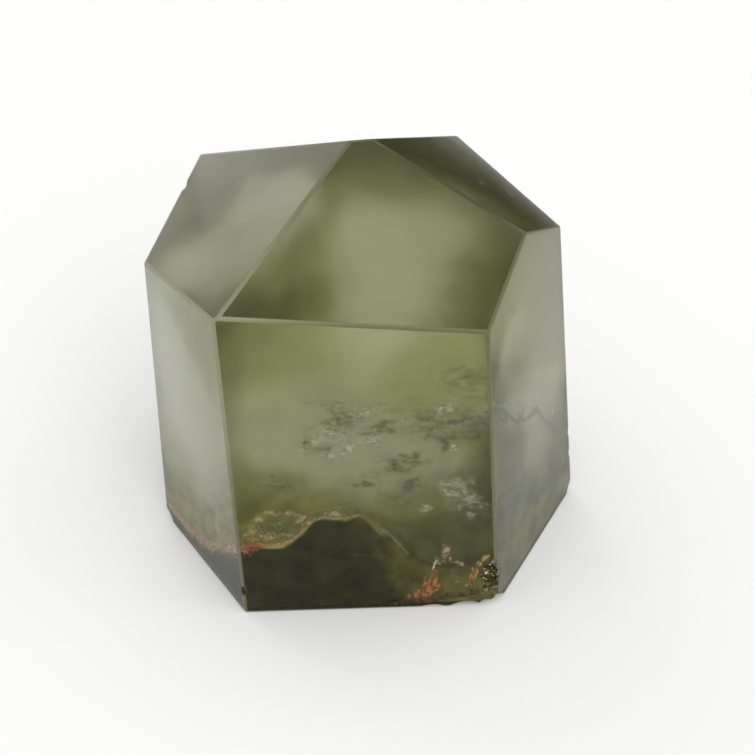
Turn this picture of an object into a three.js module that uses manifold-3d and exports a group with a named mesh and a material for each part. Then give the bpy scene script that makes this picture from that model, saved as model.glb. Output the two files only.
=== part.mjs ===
// A polished point of green rutile quartz: six upright facets, four low facets on top, a sawn base.
// Millimetres, +Z up. The origin is at the middle of the base, and the broad front facet looks along -Y.
// The stone is one piece. It is ground here as a cutter would do it: every facet takes a slab off a block.
import * as THREE from "three";
import { mergeVertices } from "three/addons/utils/BufferGeometryUtils.js";
import Module from "manifold-3d";

const wasm = await Module();
wasm.setup();

// The rough block before grinding, wider than the finished stone on every side.
const BLOCK = 60;

// The upright facets. around is the way that a facet looks, in degrees from the front towards the right.
// lean is how far it leans inwards, in degrees, and a negative lean hangs outwards.
// reach is its distance from the upright axis at the level of the base.
const SIDE_FACETS = {
  front: { around: 0, lean: 2, reach: 16.0 },
  right: { around: 58, lean: 7, reach: 17.5 },
  backRight: { around: 117, lean: 9.5, reach: 18.6 },
  back: { around: 180, lean: 2, reach: 16.0 },
  backLeft: { around: -115.5, lean: -1.5, reach: 16.2 },
  left: { around: -63, lean: -4, reach: 18.2 },
};

// The facets of the point. slope is in degrees from level, and crossing is the height at which the
// facet's plane meets the upright axis.
const TOP_FACETS = {
  frontTop: { around: 5.5, slope: 35.5, crossing: 40.6 },
  rightTop: { around: 107, slope: 28, crossing: 38.7 },
  backTop: { around: -171, slope: 30, crossing: 39.1 },
  leftTop: { around: -75, slope: 31, crossing: 42.0 },
};

// Polishing and handling have taken this much off every edge, measured square to the edge.
const EDGE_WEAR = 0.07;
// Facets that look further apart than this, in degrees, don't meet at an edge.
const WIDEST_EDGE = 140;

// Shell-shaped flakes lost from the base and the edges: where, which way each looks, how big a ball
// fits the scar, and how deep the scar goes.
const FLAKE_DETAIL = 6;
const FLAKES = [
  { at: [20.8, 0.2, 0.0], facing: [1.0, 0.0, -0.6], radius: 3.0, depth: 1.0 },
  { at: [-19.1, -2.5, 0.0], facing: [-1.0, -0.2, -0.5], radius: 2.6, depth: 0.75 },
  { at: [10.7, -15.9, 0.0], facing: [0.3, -1.0, -1.1], radius: 3.6, depth: 1.05 },
  { at: [7.6, -16.0, 0.0], facing: [0.1, -1.0, -1.1], radius: 3.4, depth: 0.5 },
  { at: [4.6, -16.0, 0.0], facing: [0.0, -1.0, -1.1], radius: 3.0, depth: 0.28 },
  { at: [-12.5, -15.9, 2.6], facing: [-0.5, -1.0, 0.0], radius: 0.9, depth: 0.2 },
  { at: [19.5, -0.1, 7.4], facing: [1.0, 0.0, 0.1], radius: 0.8, depth: 0.28 },
  { at: [20.0, 0.0, 4.8], facing: [1.0, 0.0, 0.1], radius: 0.9, depth: 0.3 },
  { at: [-17.2, 3.6, 32.6], facing: [-1.0, 0.2, 0.6], radius: 1.0, depth: 0.4 },
  { at: [11.8, 16.0, 0.0], facing: [0.3, 1.0, -0.8], radius: 2.4, depth: 0.6 },
];

// Unpolished matrix left at the foot of the front right edge: small angular pits, each turned differently.
const PITS = 18;
const PIT_PATCH = { right: 10.9, low: 0.9, width: 2.1, height: 4.4 };
const PIT_RADIUS = { least: 0.5, most: 1.0 };
const PIT_DEPTH = 0.24;
const GOLDEN_SHARE = 0.618;

const UP = new THREE.Vector3(0, 0, 1);

function unitVector(aroundDegrees, riseDegrees) {
  const around = THREE.MathUtils.degToRad(aroundDegrees);
  const rise = THREE.MathUtils.degToRad(riseDegrees);
  const level = Math.cos(rise);
  return new THREE.Vector3(level * Math.sin(around), -level * Math.cos(around), Math.sin(rise));
}

// The plane of an upright facet, looking out of the stone.
function sidePlane({ around, lean, reach }) {
  const onFacet = unitVector(around, 0).multiplyScalar(reach);
  return new THREE.Plane().setFromNormalAndCoplanarPoint(unitVector(around, lean), onFacet);
}

// The plane of a facet of the point, looking out of the stone.
function topPlane({ around, slope, crossing }) {
  const onAxis = UP.clone().multiplyScalar(crossing);
  return new THREE.Plane().setFromNormalAndCoplanarPoint(unitVector(around, 90 - slope), onAxis);
}

// Turns a closed geometry into a solid that can be cut.
function solidOf(geometry) {
  geometry.deleteAttribute("normal");
  geometry.deleteAttribute("uv");
  const merged = mergeVertices(geometry, 1e-5);
  return new wasm.Manifold(
    new wasm.Mesh({
      numProp: 3,
      vertProperties: new Float32Array(merged.attributes.position.array),
      triVerts: new Uint32Array(merged.index.array),
    }),
  );
}

// Everything that lies outside a facet's plane, as a slab whose underside is the facet.
function slabBeyond(plane) {
  const slab = new THREE.BoxGeometry(2 * BLOCK, 2 * BLOCK, BLOCK);
  slab.translate(0, 0, BLOCK / 2);
  slab.applyQuaternion(new THREE.Quaternion().setFromUnitVectors(UP, plane.normal));
  slab.translate(...plane.coplanarPoint(new THREE.Vector3()));
  return solidOf(slab);
}

// A point that lies on both planes.
function pointOnBoth(a, b) {
  const along = a.normal.clone().cross(b.normal);
  const fromA = b.normal.clone().cross(along).multiplyScalar(-a.constant);
  const fromB = along.clone().cross(a.normal).multiplyScalar(-b.constant);
  return fromA.add(fromB).divideScalar(along.lengthSq());
}

// The narrow worn strip along the edge between two facets, or null if they don't share an edge.
function wornEdge(a, b) {
  if (a.normal.angleTo(b.normal) > THREE.MathUtils.degToRad(WIDEST_EDGE)) return null;
  const normal = a.normal.clone().add(b.normal).normalize();
  const onStrip = pointOnBoth(a, b).addScaledVector(normal, -EDGE_WEAR);
  return new THREE.Plane().setFromNormalAndCoplanarPoint(normal, onStrip);
}

function facetPlanes() {
  const base = new THREE.Plane(UP.clone().negate(), 0);
  const sides = Object.values(SIDE_FACETS).map(sidePlane);
  const tops = Object.values(TOP_FACETS).map(topPlane);
  return [base, ...sides, ...tops];
}

function wornEdges(planes) {
  const pairs = planes.flatMap((a, i) => planes.slice(i + 1).map((b) => wornEdge(a, b)));
  return pairs.filter((strip) => strip !== null);
}

function facetedStone() {
  const planes = facetPlanes();
  const block = solidOf(new THREE.BoxGeometry(BLOCK, BLOCK, 2 * BLOCK));
  return [...planes, ...wornEdges(planes)].reduce(
    (stone, plane) => stone.subtract(slabBeyond(plane)),
    block,
  );
}

// Moves a round or angular body to where it bites a scar of the given depth into the surface.
function biteOf(body, { at, facing, radius, depth }) {
  const outward = new THREE.Vector3(...facing).normalize();
  body.translate(...new THREE.Vector3(...at).addScaledVector(outward, radius - depth));
  return solidOf(body);
}

function flakeBite(flake) {
  return biteOf(new THREE.IcosahedronGeometry(flake.radius, FLAKE_DETAIL), flake);
}

function pitBite(pit, i) {
  const lump = new THREE.DodecahedronGeometry(pit.radius);
  lump.rotateX(i);
  lump.rotateY(2 * i);
  return biteOf(lump, pit);
}

// The pits of the rough patch follow the front facet from low to high, and their sizes vary.
function pits() {
  const front = sidePlane(SIDE_FACETS.front);
  return Array.from({ length: PITS }, (_, i) => {
    const across = (i * GOLDEN_SHARE) % 1;
    const size = (i * GOLDEN_SHARE * 2) % 1;
    const x = PIT_PATCH.right - PIT_PATCH.width * across;
    const z = PIT_PATCH.low + (PIT_PATCH.height * (i + 0.5)) / PITS;
    const y = front.projectPoint(new THREE.Vector3(x, 0, z), new THREE.Vector3()).y;
    const radius = THREE.MathUtils.lerp(PIT_RADIUS.least, PIT_RADIUS.most, size);
    return { at: [x, y, z], facing: [0.2, -1, 0], radius, depth: PIT_DEPTH };
  });
}

function geometryOf(stone) {
  const mesh = stone.getMesh();
  const geometry = new THREE.BufferGeometry();
  geometry.setAttribute("position", new THREE.BufferAttribute(mesh.vertProperties, 3));
  geometry.setIndex(new THREE.BufferAttribute(mesh.triVerts, 1));
  return geometry;
}

function quartzPoint() {
  const bites = [...FLAKES.map(flakeBite), ...pits().map(pitBite)];
  const worn = bites.reduce((stone, bite) => stone.subtract(bite), facetedStone());
  const greenQuartz = new THREE.MeshStandardMaterial({
    color: 0x8a8e6c,
    roughness: 0.06,
    metalness: 0,
    flatShading: true,
  });
  const mesh = new THREE.Mesh(geometryOf(worn), greenQuartz);
  mesh.name = "quartz_point";
  return mesh;
}

const part = new THREE.Group();
part.add(quartzPoint());

export default part;
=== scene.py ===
import math
import random

import bpy
from mathutils import Matrix, Vector


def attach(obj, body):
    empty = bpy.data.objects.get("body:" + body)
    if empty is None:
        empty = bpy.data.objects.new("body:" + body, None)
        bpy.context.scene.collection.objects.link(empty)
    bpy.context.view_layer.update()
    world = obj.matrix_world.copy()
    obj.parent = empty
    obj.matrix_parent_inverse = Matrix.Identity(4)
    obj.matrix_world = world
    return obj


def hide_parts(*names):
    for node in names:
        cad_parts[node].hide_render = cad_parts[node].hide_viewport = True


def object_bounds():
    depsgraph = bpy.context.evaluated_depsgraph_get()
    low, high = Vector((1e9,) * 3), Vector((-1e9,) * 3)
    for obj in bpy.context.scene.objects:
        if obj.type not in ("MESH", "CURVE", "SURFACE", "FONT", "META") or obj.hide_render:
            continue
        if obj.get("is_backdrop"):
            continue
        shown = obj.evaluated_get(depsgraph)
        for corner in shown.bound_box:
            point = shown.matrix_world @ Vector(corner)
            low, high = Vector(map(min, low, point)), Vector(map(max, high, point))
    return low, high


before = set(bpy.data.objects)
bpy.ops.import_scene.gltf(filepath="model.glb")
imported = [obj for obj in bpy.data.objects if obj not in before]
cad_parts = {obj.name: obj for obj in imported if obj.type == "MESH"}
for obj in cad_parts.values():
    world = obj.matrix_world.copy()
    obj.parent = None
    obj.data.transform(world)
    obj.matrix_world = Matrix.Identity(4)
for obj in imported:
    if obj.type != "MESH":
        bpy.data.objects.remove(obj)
cad_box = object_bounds()

# Camera. It stands in front of the stone and a little to its left, looks down at it, and is slightly
# rolled, as in the photograph. Places are in millimetres and turned to metres where they are used, but
# the limits between which a material changes along the stone are in metres.
MM = 0.001
PHOTO_SIDE = 755
FOCAL_PIXELS = 1661
CAMERA_PLACE = Vector((-18.2, -123.46, 104.83))
CAMERA_TURN = -8.6
CAMERA_PITCH = -36.0
CAMERA_ROLL = 4.25
CAMERA_NEAR = 0.01
CAMERA_FAR = 10.0
FILMS_SEEN_THROUGH = 24

camera = bpy.data.objects.new("camera", bpy.data.cameras.new("camera"))
bpy.context.collection.objects.link(camera)
camera.data.lens = camera.data.sensor_width * FOCAL_PIXELS / PHOTO_SIDE
camera.data.clip_start = CAMERA_NEAR
camera.data.clip_end = CAMERA_FAR
camera.location = CAMERA_PLACE * MM
aim = Matrix.Rotation(math.radians(CAMERA_TURN), 3, "Z")
aim = aim @ Matrix.Rotation(math.radians(90 + CAMERA_PITCH), 3, "X")
aim = aim @ Matrix.Rotation(math.radians(CAMERA_ROLL), 3, "Z")
camera.rotation_euler = aim.to_euler()
bpy.context.scene.camera = camera
bpy.context.scene.view_settings.view_transform = "Standard"
bpy.context.scene.cycles.transparent_max_bounces = FILMS_SEEN_THROUGH


# Floor. A plain pale table top under the stone. The darkest top facet mirrors a shaded part of the table,
# far behind the stone on the right. The shade shows only in the stone, and the table itself looks pale.
FLOOR_SIDE = 1.6
FLOOR_GAP = 0.02 * MM
FLOOR_PALE = (0.88, 0.88, 0.875, 1)
FLOOR_SHADE = (0.03, 0.03, 0.025, 1)
FLOOR_ROUGH = 0.9
FLOOR_SHEEN = 0.2
COLOUR_SOCKETS = (6, 7)
COLOUR_RESULT = 2
DARK_WAY = Vector((0.43, 0.90, 0.0)).normalized()
SHADE_STARTS = (0.15, 0.19)
SHADE_WIDTH = (0.90, 0.96)


def new_material(name):
    """A material, its node tree and its Principled shader."""
    material = bpy.data.materials.new(name)
    material.use_nodes = True
    tree = material.node_tree
    return material, tree, tree.nodes["Principled BSDF"]


def add_node(tree, kind, links=(), settings=(), **attributes):
    """Adds a node, links sockets into its inputs by name or number, and sets its other values."""
    node = tree.nodes.new(kind)
    for name, value in attributes.items():
        setattr(node, name, value)
    for socket, source in dict(links).items():
        tree.links.new(source, node.inputs[socket])
    for socket, value in dict(settings).items():
        node.inputs[socket].default_value = value
    return node


def ramp(tree, value, low, high, to_low=0.0, to_high=1.0):
    """A soft step of a value between two limits."""
    step = add_node(tree, "ShaderNodeMapRange", {"Value": value}, interpolation_type="SMOOTHSTEP")
    for name, number in (("From Min", low), ("From Max", high), ("To Min", to_low), ("To Max", to_high)):
        step.inputs[name].default_value = number
    return step.outputs[0]


def calculate(tree, operation, a, b):
    """A Math node. Each side is a socket or a number."""
    node = add_node(tree, "ShaderNodeMath", operation=operation)
    for socket, side in zip(node.inputs, (a, b)):
        if isinstance(side, (int, float)):
            socket.default_value = side
        else:
            tree.links.new(side, socket)
    return node.outputs[0]


def mix_colour(tree, share, a, b):
    """A mix of two colours. Each is a socket or four numbers."""
    node = add_node(tree, "ShaderNodeMix", {0: share}, data_type="RGBA")
    for socket, side in zip(COLOUR_SOCKETS, (a, b)):
        if isinstance(side, tuple):
            node.inputs[socket].default_value = side
        else:
            tree.links.new(side, node.inputs[socket])
    return node.outputs[COLOUR_RESULT]


def feed(shader, name, source):
    """Links a socket into one of a shader's inputs."""
    shader.id_data.links.new(source, shader.inputs[name])


def place_on(tree):
    """The place on the piece, in its own coordinates."""
    return add_node(tree, "ShaderNodeTexCoord").outputs["Object"]


def parts_of(tree, vector):
    """A vector's three numbers, by the names X, Y and Z."""
    return add_node(tree, "ShaderNodeSeparateXYZ", {0: vector}).outputs


def along(tree, vector, way):
    """How far a vector goes along a fixed way."""
    product = add_node(tree, "ShaderNodeVectorMath", {0: vector}, {1: way}, operation="DOT_PRODUCT")
    return product.outputs["Value"]


def seen_directly(tree):
    """1 for what the camera sees directly, and 0 for what it sees mirrored or through the stone."""
    return add_node(tree, "ShaderNodeLightPath").outputs["Is Camera Ray"]


bpy.ops.object.select_all(action="DESELECT")
bpy.ops.mesh.primitive_plane_add(size=FLOOR_SIDE, location=(0, 0, -FLOOR_GAP))
floor = bpy.context.object
floor.name = "floor"
bpy.ops.object.transform_apply(location=True)
floor_paint, tree, shader = new_material("pale_floor")
spot = place_on(tree)
away = add_node(tree, "ShaderNodeVectorMath", {0: spot}, operation="LENGTH").outputs["Value"]
bearing = add_node(tree, "ShaderNodeVectorMath", {0: spot}, operation="NORMALIZE").outputs[0]
shade = calculate(tree, "MULTIPLY", ramp(tree, away, *SHADE_STARTS),
                  ramp(tree, along(tree, bearing, DARK_WAY), *SHADE_WIDTH))
shade = calculate(tree, "MULTIPLY", shade, calculate(tree, "SUBTRACT", 1.0, seen_directly(tree)))
feed(shader, "Base Color", mix_colour(tree, shade, FLOOR_PALE, FLOOR_SHADE))
shader.inputs["Roughness"].default_value = FLOOR_ROUGH
shader.inputs["Specular IOR Level"].default_value = FLOOR_SHEEN
floor.data.materials.append(floor_paint)
floor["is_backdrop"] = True


# Light. A bright soft room, with a large dim window at the back on the left, a stronger lamp high in front
# and an unlit doorway low at the back on the right. The doorway shows only in the stone.
ROOM_LIGHT = (0.93, 0.98)  # low down and high up
ROOM_HEIGHTS = (-0.1, 0.9)
DOORWAY_EDGE = (0.86, 0.95)
DOORWAY_LIGHT = 0.03
LAMP_FAR = 1.15
LAMPS = [  # name, way to it, side, watts
    ("window", Vector((-0.53, 0.70, 0.49)), 0.75, 1.1),
    ("fill", Vector((0.10, -0.72, 0.69)), 0.8, 3.6),
]

world = bpy.data.worlds.new("studio")
bpy.context.scene.world = world
world.use_nodes = True
sky = world.node_tree
way = add_node(sky, "ShaderNodeTexCoord").outputs["Generated"]
doorway = ramp(sky, along(sky, way, DARK_WAY), *DOORWAY_EDGE, 1.0, DOORWAY_LIGHT)
lit = calculate(sky, "MAXIMUM", doorway, seen_directly(sky))
room = ramp(sky, parts_of(sky, way)["Z"], *ROOM_HEIGHTS, *ROOM_LIGHT)
brightness = calculate(sky, "MULTIPLY", room, lit)
sky.links.new(brightness, sky.nodes["Background"].inputs["Strength"])
sky.nodes["Background"].inputs["Color"].default_value = (1, 1, 1, 1)

for name, lamp_way, side, watts in LAMPS:
    lamp = bpy.data.objects.new(name, bpy.data.lights.new(name, "AREA"))
    lamp.data.size = side
    lamp.data.energy = watts
    lamp.location = lamp_way * LAMP_FAR
    lamp.rotation_euler = (-lamp_way).to_track_quat("-Z", "Y").to_euler()
    bpy.context.collection.objects.link(lamp)


# Stone. One piece of quartz, ground from a block facet by facet and polished. Its edges are softened, with
# a painted highlight on those high on the left and painted shade on those by the darkest facet, and it has
# some flakes and a patch of pits. Haze too fine to see blurs what lies behind, so its inner surface is rough,
# and a clear polish lies over it.
BLOCK = 0.12
SIDE_FACETS = {  # way it looks from the front, lean inwards, distance from the axis at the base
    "front": (0, 2, 16.0),
    "right": (58, 7, 17.5),
    "back_right": (117, 9.5, 18.6),
    "back": (180, 2, 16.0),
    "back_left": (-115.5, -1.5, 16.2),
    "left": (-63, -4, 18.2),
}
TOP_FACETS = {  # way it looks from the front, slope, height at which it crosses the axis
    "front_top": (5.5, 35.5, 40.6),
    "right_top": (107, 28, 38.7),
    "back_top": (-171, 30, 39.1),
    "left_top": (-75, 31, 42.0),
}
EDGE_ROUNDING = 0.22 * MM
EDGE_STEPS = 3
SMOOTH_BELOW = 28
RELIEF_LAYERS = 3
FINE_NOISE = {"Detail": 5.0, "Roughness": 0.6}
FLAKES = [  # place, way it looks, size of the scar's ball, depth
    ((20.8, 0.2, 0.0), (1.0, 0.0, -0.6), 3.0, 1.04),
    ((-19.1, -2.5, 0.0), (-1.0, -0.2, -0.5), 2.6, 0.75),
    ((10.7, -15.9, 0.0), (0.3, -1.0, -1.1), 3.6, 1.05),
    ((7.6, -16.0, 0.0), (0.1, -1.0, -1.1), 3.4, 0.5),
    ((4.6, -16.0, 0.0), (0.0, -1.0, -1.1), 3.0, 0.28),
    ((-12.5, -15.9, 2.6), (-0.5, -1.0, 0.0), 0.9, 0.2),
    ((19.5, -0.1, 7.4), (1.0, 0.0, 0.1), 0.8, 0.28),
    ((20.0, 0.0, 4.8), (1.0, 0.0, 0.1), 0.9, 0.3),
    ((-17.2, 3.6, 32.6), (-1.0, 0.2, 0.6), 1.0, 0.4),
    ((11.8, 16.0, 0.0), (0.3, 1.0, -0.8), 2.4, 0.6),
]
FLAKE_RIPPLE = 0.12
FLAKE_DETAIL = 5
PITS = 26
PIT_SEED = 7
PIT_ACROSS = (9.0, 10.9)
PIT_HEIGHT = (0.8, 5.2)
PIT_RADIUS = (0.4, 0.9)
PIT_WAY = (0.2, -1, 0)
PIT_DEPTH = 0.22
PIT_RIPPLE = 0.15
PIT_DETAIL = 2
QUARTZ_IOR = 1.544
QUARTZ_GREEN = (0.51, 0.54, 0.18, 1)
QUARTZ_DENSITY = 75
QUARTZ_HAZE = (0.235, 0.262)
QUARTZ_SHEEN = (0.60, 0.60, 0.32, 1)
QUARTZ_CLOUDS = 90.0
THIN_POLISH = 0.10
POLISH_ROUGH = 0.03
BRIGHT_POLISH = {"left": 0.75, "left_top": 0.45}
SAME_WAY = (0.97, 0.995)  # how closely a surface looks the facet's way
POLISH_HEIGHT = (0.004, 0.016)
POLISH_AT_FOOT = 0.1
WORN_CLEAR = 0.5
WORN_EDGE = (0.19, 0.195, 0.10, 1)
# Painted highlight on the edges high on the left, and painted shade on those by the darkest facet.
PAINTED_HIGHLIGHT_EDGE = (0.40, 0.41, 0.27, 1)
PAINTED_HIGHLIGHT_SIDE = (-0.017, -0.003)
PAINTED_HIGHLIGHT_HEIGHT = (0.009, 0.022)
PAINTED_SHADE_EDGE = (0.075, 0.080, 0.034, 1)
PAINTED_SHADE_SIDE = (-0.004, 0.001)
PAINTED_SHADE_HEIGHT = (0.0332, 0.0362)


def unit(around, rise):
    """A direction from degrees round the stone and degrees above level."""
    a, r = math.radians(around), math.radians(rise)
    return Vector((math.cos(r) * math.sin(a), -math.cos(r) * math.cos(a), math.sin(r)))


def facet_plane(name, depth=0.0):
    """A point and the outward normal of a facet's plane, moved into the stone by a depth in mm."""
    if name in SIDE_FACETS:
        around, lean, reach = SIDE_FACETS[name]
        normal, point = unit(around, lean), unit(around, 0) * reach
    else:
        around, slope, crossing = TOP_FACETS[name]
        normal, point = unit(around, 90 - slope), Vector((0, 0, crossing))
    return (point - normal * depth) * MM, normal


def grind(names, depth=0.0, fill=True):
    """In edit mode, cuts away what lies outside the named facets."""
    for name in names:
        point, normal = facet_plane(name, depth)
        bpy.ops.mesh.select_all(action="SELECT")
        bpy.ops.mesh.bisect(plane_co=point, plane_no=normal, use_fill=fill, clear_outer=True)


def apply_modifier(obj, kind, **values):
    """Adds a modifier with the given settings and applies it."""
    modifier = obj.modifiers.new(kind.lower(), kind)
    for name, value in values.items():
        setattr(modifier, name, value)
    bpy.context.view_layer.objects.active = obj
    bpy.ops.object.modifier_apply(modifier=modifier.name)


def roughen(obj, size, strength, middle=0.5, direction="NORMAL"):
    """Pushes a mesh in and out by soft noise. The size of the bumps and their strength are in mm."""
    texture = bpy.data.textures.new("relief", "CLOUDS")
    texture.noise_scale = size * MM
    texture.noise_depth = RELIEF_LAYERS
    apply_modifier(obj, "DISPLACE", texture=texture, texture_coords="GLOBAL", strength=strength * MM,
                   mid_level=middle, direction=direction)


def bite(stone, place, way, radius, depth, ripple, ball_detail):
    """Takes one flake or pit out of the stone, with a slightly uneven scar."""
    outward = Vector(way).normalized()
    centre = (Vector(place) + outward * (radius - depth)) * MM
    bpy.ops.object.select_all(action="DESELECT")
    bpy.ops.mesh.primitive_ico_sphere_add(subdivisions=ball_detail, radius=radius * MM, location=centre)
    ball = bpy.context.object
    bpy.ops.object.transform_apply(location=True)
    roughen(ball, radius / 2, ripple)
    apply_modifier(stone, "BOOLEAN", operation="DIFFERENCE", object=ball, solver="EXACT")
    bpy.data.objects.remove(ball)


def ground_block(name, depth):
    """A block ground to the stone's facets, or to planes under them, in edit mode."""
    bpy.ops.object.select_all(action="DESELECT")
    bpy.ops.mesh.primitive_cube_add(size=BLOCK, location=(0, 0, BLOCK / 2 + depth * MM))
    block = bpy.context.object
    block.name = name
    bpy.ops.object.transform_apply(location=True)
    bpy.ops.object.mode_set(mode="EDIT")
    grind([*SIDE_FACETS, *TOP_FACETS], depth)
    bpy.ops.mesh.select_all(action="SELECT")
    return block


def glassy(name, tint, clear, rough):
    """Clear quartz: plain transmission and absorption, with a thin clear polish."""
    material, tree, shader = new_material(name)
    shader.inputs["Base Color"].default_value = tint
    shader.inputs["IOR"].default_value = QUARTZ_IOR
    shader.inputs["Transmission Weight"].default_value = clear
    shader.inputs["Roughness"].default_value = rough
    shader.inputs["Specular Tint"].default_value = QUARTZ_SHEEN
    shader.inputs["Coat Weight"].default_value = THIN_POLISH
    shader.inputs["Coat Roughness"].default_value = POLISH_ROUGH
    shader.inputs["Coat IOR"].default_value = QUARTZ_IOR
    absorb = add_node(tree, "ShaderNodeVolumeAbsorption", {},
                      {"Color": QUARTZ_GREEN, "Density": QUARTZ_DENSITY})
    tree.links.new(absorb.outputs[0], tree.nodes["Material Output"].inputs["Volume"])
    return material, tree, shader


green_quartz, quartz_tree, quartz_shader = glassy("green_quartz", (1, 1, 1, 1), 1.0, QUARTZ_HAZE[0])
# The worn edge's colour carries a painted highlight high on the left and painted shade by the darkest facet.
worn_and_painted_edge, tree, shader = glassy("worn_and_painted_edge", WORN_EDGE, WORN_CLEAR, QUARTZ_HAZE[1])
spot = parts_of(tree, place_on(tree))
highlight_share = calculate(tree, "MULTIPLY", ramp(tree, spot["X"], *PAINTED_HIGHLIGHT_SIDE, 1.0, 0.0),
                   ramp(tree, spot["Z"], *PAINTED_HIGHLIGHT_HEIGHT))
shade_share = calculate(tree, "MULTIPLY", ramp(tree, spot["X"], *PAINTED_SHADE_SIDE), ramp(tree, spot["Z"], *PAINTED_SHADE_HEIGHT))
edge_tint_with_highlight = mix_colour(tree, highlight_share, WORN_EDGE, PAINTED_HIGHLIGHT_EDGE)
feed(shader, "Base Color", mix_colour(tree, shade_share, edge_tint_with_highlight, PAINTED_SHADE_EDGE))
stone = ground_block("polished_quartz", 0.0)
bpy.ops.object.mode_set(mode="OBJECT")
stone.data.materials.append(green_quartz)
stone.data.materials.append(worn_and_painted_edge)
bpy.ops.object.mode_set(mode="EDIT")
bpy.ops.mesh.bevel(offset=EDGE_ROUNDING, segments=EDGE_STEPS, affect="EDGES", material=1)
bpy.ops.object.mode_set(mode="OBJECT")
for place, way, radius, depth in FLAKES:
    bite(stone, place, way, radius, depth, FLAKE_RIPPLE, FLAKE_DETAIL)

chance = random.Random(PIT_SEED)
for _ in range(PITS):
    x = chance.uniform(*PIT_ACROSS)
    z = chance.uniform(*PIT_HEIGHT)
    front_y = facet_plane("front")[0].y / MM + z * math.tan(math.radians(SIDE_FACETS["front"][1]))
    bite(stone, (x, front_y, z), PIT_WAY, chance.uniform(*PIT_RADIUS), PIT_DEPTH, PIT_RIPPLE, PIT_DETAIL)
bpy.ops.object.select_all(action="DESELECT")
stone.select_set(True)
bpy.context.view_layer.objects.active = stone
bpy.ops.object.shade_smooth_by_angle(angle=math.radians(SMOOTH_BELOW))


def new_group(name, inputs, outputs):
    """A shader node group with named sockets. Each input has a name, a kind and a starting value."""
    group = bpy.data.node_groups.new(name, "ShaderNodeTree")
    for socket_name, kind, value in inputs:
        socket = group.interface.new_socket(socket_name, in_out="INPUT", socket_type="NodeSocket" + kind)
        if value is not None:
            socket.default_value = value
    for socket_name, kind in outputs:
        group.interface.new_socket(socket_name, in_out="OUTPUT", socket_type="NodeSocket" + kind)
    return group, group.nodes.new("NodeGroupInput").outputs, group.nodes.new("NodeGroupOutput").inputs


def use_group(tree, group, links=(), **values):
    """Places a group in a material, with some inputs linked and some set."""
    node = tree.nodes.new("ShaderNodeGroup")
    node.node_tree = group
    for socket, source in dict(links).items():
        tree.links.new(source, node.inputs[socket])
    for name, value in values.items():
        node.inputs[name].default_value = value
    return node.outputs[0]


# The mottle effect: cloudy variation through the stone, from 0 to 1. A small stretch value draws it out.
mottle, given, gives = new_group(
    "mottle", [("Scale", "Float", 100.0), ("Low", "Float", 0.35), ("High", "Float", 0.65),
               ("Stretch", "Vector", (1, 1, 1))], [("Value", "Float")])
drawn = add_node(mottle, "ShaderNodeVectorMath", {0: place_on(mottle), 1: given["Stretch"]},
                 operation="MULTIPLY")
noise = add_node(mottle, "ShaderNodeTexNoise", {"Vector": drawn.outputs[0], "Scale": given["Scale"]},
                 FINE_NOISE)
spread = add_node(mottle, "ShaderNodeMapRange", {"Value": noise.outputs[0], "From Min": given["Low"],
                                                 "From Max": given["High"]}, interpolation_type="SMOOTHSTEP")
mottle.links.new(spread.outputs[0], gives["Value"])


def mottled(tree, scale, low=0.35, high=0.65, stretch=(1, 1, 1)):
    """The mottle effect in a material. A high scale is fine, and close limits are sharp."""
    return use_group(tree, mottle, Scale=scale, Low=low, High=high, Stretch=stretch)


hazy = ramp(quartz_tree, mottled(quartz_tree, QUARTZ_CLOUDS), 0.0, 1.0, *QUARTZ_HAZE)
feed(quartz_shader, "Roughness", hazy)
surface = add_node(quartz_tree, "ShaderNodeNewGeometry")
polish = THIN_POLISH
for facet, more in BRIGHT_POLISH.items():
    facing = along(quartz_tree, surface.outputs["True Normal"], facet_plane(facet)[1])
    polish = calculate(quartz_tree, "ADD", ramp(quartz_tree, facing, *SAME_WAY, 0.0, more), polish)
outside = calculate(quartz_tree, "SUBTRACT", 1.0, surface.outputs["Backfacing"])
above = parts_of(quartz_tree, place_on(quartz_tree))["Z"]
whole = ramp(quartz_tree, above, *POLISH_HEIGHT, POLISH_AT_FOOT, 1.0)
polish = calculate(quartz_tree, "MULTIPLY", polish, whole)
polish = calculate(quartz_tree, "MULTIPLY", polish, outside)
feed(quartz_shader, "Coat Weight", polish)
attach(stone, "root")
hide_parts("quartz_point")


# Milky haze. Swarms of bubbles too small to see, left on the stone's earlier faces as it grew. Each old
# face lies inside the last, and the haze on it is thick in some places and missing in others.
HAZE_DEPTHS = (0.7, 1.6, 2.7, 4.2)
HAZE_VOXEL = 0.7 * MM
HAZE_RELIEF = (5, 0.5)  # size of the bumps, strength
HAZE_WHITE = (1.0, 1.0, 0.90, 1)
HAZE_PALE = (0.84, 0.87, 0.61, 1)
HAZE_GREEN = (0.50, 0.54, 0.24, 1)
HAZE_PALE_FROM = (0.08, 0.30)
HAZE_WHITE_FROM = (0.36, 0.70)
HAZE_EVERYWHERE = 0.022
HAZE_THICKEST = 0.24
HAZE_DRIFT = (130.0, 6.0, 1.0)  # scale of the noise, how far it pushes, its detail
HAZE_SWARMS = (330.0, 0.30, 0.70)  # scale and limits of the mottle effect
SWARM_LEAST = 0.60
SWARM_GAIN = 0.75
INCLUSION_ROUGH = 0.9
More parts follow.
